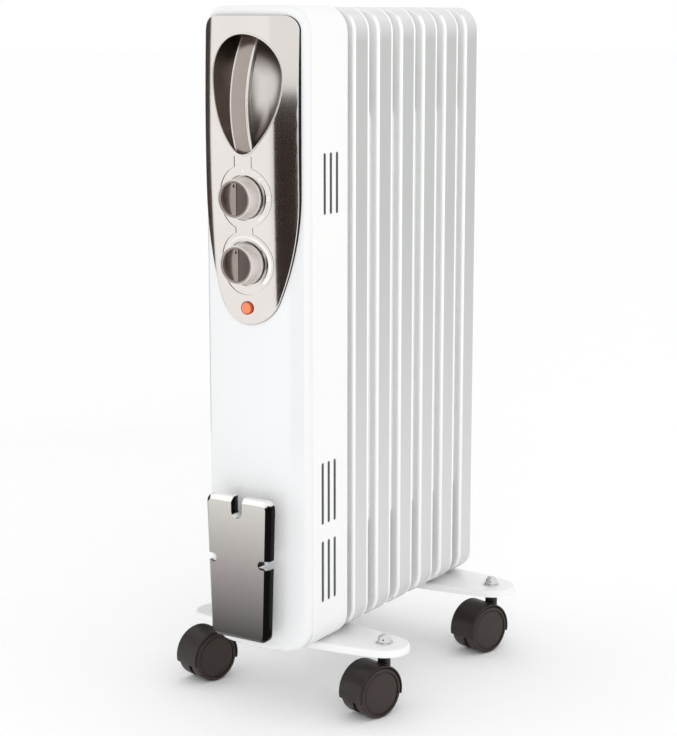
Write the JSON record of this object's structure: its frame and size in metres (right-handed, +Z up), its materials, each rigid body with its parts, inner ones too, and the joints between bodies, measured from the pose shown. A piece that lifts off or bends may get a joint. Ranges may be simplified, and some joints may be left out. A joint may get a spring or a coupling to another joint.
{
  "type": "oil filled radiator heater",
  "caption": "Slim oil filled column heater on swivel casters: stacked flanged fins, a crowned control case with dials, lamp and carry grip, and a cord-wrap plate.",
  "frame": {"origin": "on the floor, at the middle of the overall box", "axes": "+Z up; -Y is the front, where the control case faces; +X is to the right of a person facing the front; the fins stack along +Y"},
  "size_m": [0.2356, 0.3481, 0.64],
  "materials": {
    "fin_enamel": "white baked enamel, semi-gloss",
    "case_paint": "white powder coat, semi-gloss",
    "cover_gloss": "white moulded plastic, high gloss",
    "foot_paint": "white baked enamel, gloss",
    "fascia_metal": "pewter metallised plastic, polished",
    "knob_metal": "satin metallised plastic",
    "knob_face_metal": "dark satin metallised plastic",
    "cord_plate_metal": "dark pewter metallised plastic, polished",
    "post_plastic": "white moulded plastic",
    "lens_orange": "translucent orange plastic",
    "caster_plastic": "dark brown-black nylon, satin",
    "wheel_plastic": "dark brown-black nylon, satin",
    "nut_chrome": "bright chrome plate",
    "zinc_steel": "zinc plated steel",
    "element_steel": "bare drawn steel",
    "gasket_rubber": "black rubber",
    "switch_plastic": "moulded phenolic"
  },
  "bodies": {
    "root": {"fin_1": "fin_enamel", "fin_2": "fin_enamel", "fin_3": "fin_enamel", "fin_4": "fin_enamel", "fin_5": "fin_enamel", "fin_6": "fin_enamel", "fin_7": "fin_enamel", "control_housing": "case_paint", "front_cover": "cover_gloss", "front_foot_plate": "foot_paint", "rear_foot_plate": "foot_paint", "fascia": "fascia_metal", "handle_bowl": "fascia_metal", "handle_grip": "fascia_metal", "cord_wrap_plate": "cord_plate_metal", "cord_wrap_post": "post_plastic", "lamp_lens": "lens_orange", "dome_nuts": "nut_chrome", "washers": "nut_chrome", "caster_stems": "zinc_steel", "front_u_bolt": "zinc_steel", "rear_u_bolt": "zinc_steel", "wing_nuts": "zinc_steel", "cord_wrap_screws": "zinc_steel", "heat_shield": "zinc_steel", "heating_element": "element_steel", "filler_plug": "element_steel", "element_gasket": "gasket_rubber", "cord_gland": "gasket_rubber", "power_switch": "switch_plastic", "thermostat": "switch_plastic", "lamp_body": "switch_plastic", "thermal_cutout": "switch_plastic", "tip_over_switch": "switch_plastic", "terminal_block": "switch_plastic"},
    "power_dial": {"power_knob": "knob_metal", "power_knob_face": "knob_face_metal", "power_spindle": "zinc_steel"},
    "thermostat_dial": {"thermostat_knob": "knob_metal", "thermostat_knob_face": "knob_face_metal", "thermostat_spindle": "zinc_steel"},
    "front_left_caster": {"front_left_caster_hood": "caster_plastic", "front_left_caster_axle": "zinc_steel"},
    "front_left_wheel_left_body": {"front_left_wheel_left": "wheel_plastic"},
    "front_left_wheel_right_body": {"front_left_wheel_right": "wheel_plastic"},
    "front_right_caster": {"front_right_caster_hood": "caster_plastic", "front_right_caster_axle": "zinc_steel"},
    "front_right_wheel_left_body": {"front_right_wheel_left": "wheel_plastic"},
    "front_right_wheel_right_body": {"front_right_wheel_right": "wheel_plastic"},
    "rear_left_caster": {"rear_left_caster_hood": "caster_plastic", "rear_left_caster_axle": "zinc_steel"},
    "rear_left_wheel_left_body": {"rear_left_wheel_left": "wheel_plastic"},
    "rear_left_wheel_right_body": {"rear_left_wheel_right": "wheel_plastic"},
    "rear_right_caster": {"rear_right_caster_hood": "caster_plastic", "rear_right_caster_axle": "zinc_steel"},
    "rear_right_wheel_left_body": {"rear_right_wheel_left": "wheel_plastic"},
    "rear_right_wheel_right_body": {"rear_right_wheel_right": "wheel_plastic"}
  },
  "joints": [
    {"name": "power_dial_turn", "type": "hinge", "parent": "root", "child": "power_dial", "pos_m": [0, -0.16293, 0.476], "axis": [0, 1, 0], "range_deg": [0, 135]},
    {"name": "thermostat_dial_turn", "type": "hinge", "parent": "root", "child": "thermostat_dial", "pos_m": [0, -0.16293, 0.4185], "axis": [0, 1, 0], "range_deg": [-135, 135]},
    {"name": "front_left_swivel", "type": "hinge", "parent": "root", "child": "front_left_caster", "pos_m": [-0.0925, -0.07208, 0.055], "axis": [0, 0, 1], "continuous": true},
    {"name": "front_left_left_roll", "type": "hinge", "parent": "front_left_caster", "child": "front_left_wheel_left_body", "pos_m": [-0.09735, -0.08795, 0.0235], "axis": [0.9563, -0.2924, 0], "continuous": true},
    {"name": "front_left_right_roll", "type": "hinge", "parent": "front_left_caster", "child": "front_left_wheel_right_body", "pos_m": [-0.09735, -0.08795, 0.0235], "axis": [0.9563, -0.2924, 0], "continuous": true},
    {"name": "front_right_swivel", "type": "hinge", "parent": "root", "child": "front_right_caster", "pos_m": [0.0925, -0.07208, 0.055], "axis": [0, 0, 1], "continuous": true},
    {"name": "front_right_left_roll", "type": "hinge", "parent": "front_right_caster", "child": "front_right_wheel_left_body", "pos_m": [0.08765, -0.08795, 0.0235], "axis": [0.9563, -0.2924, 0], "continuous": true},
    {"name": "front_right_right_roll", "type": "hinge", "parent": "front_right_caster", "child": "front_right_wheel_right_body", "pos_m": [0.08765, -0.08795, 0.0235], "axis": [0.9563, -0.2924, 0], "continuous": true},
    {"name": "rear_left_swivel", "type": "hinge", "parent": "root", "child": "rear_left_caster", "pos_m": [-0.0925, 0.13992, 0.055], "axis": [0, 0, 1], "continuous": true},
    {"name": "rear_left_left_roll", "type": "hinge", "parent": "rear_left_caster", "child": "rear_left_wheel_left_body", "pos_m": [-0.09735, 0.12405, 0.0235], "axis": [0.9563, -0.2924, 0], "continuous": true},
    {"name": "rear_left_right_roll", "type": "hinge", "parent": "rear_left_caster", "child": "rear_left_wheel_right_body", "pos_m": [-0.09735, 0.12405, 0.0235], "axis": [0.9563, -0.2924, 0], "continuous": true},
    {"name": "rear_right_swivel", "type": "hinge", "parent": "root", "child": "rear_right_caster", "pos_m": [0.0925, 0.13992, 0.055], "axis": [0, 0, 1], "continuous": true},
    {"name": "rear_right_left_roll", "type": "hinge", "parent": "rear_right_caster", "child": "rear_right_wheel_left_body", "pos_m": [0.08765, 0.12405, 0.0235], "axis": [0.9563, -0.2924, 0], "continuous": true},
    {"name": "rear_right_right_roll", "type": "hinge", "parent": "rear_right_caster", "child": "rear_right_wheel_right_body", "pos_m": [0.08765, 0.12405, 0.0235], "axis": [0.9563, -0.2924, 0], "continuous": true}
  ]
}
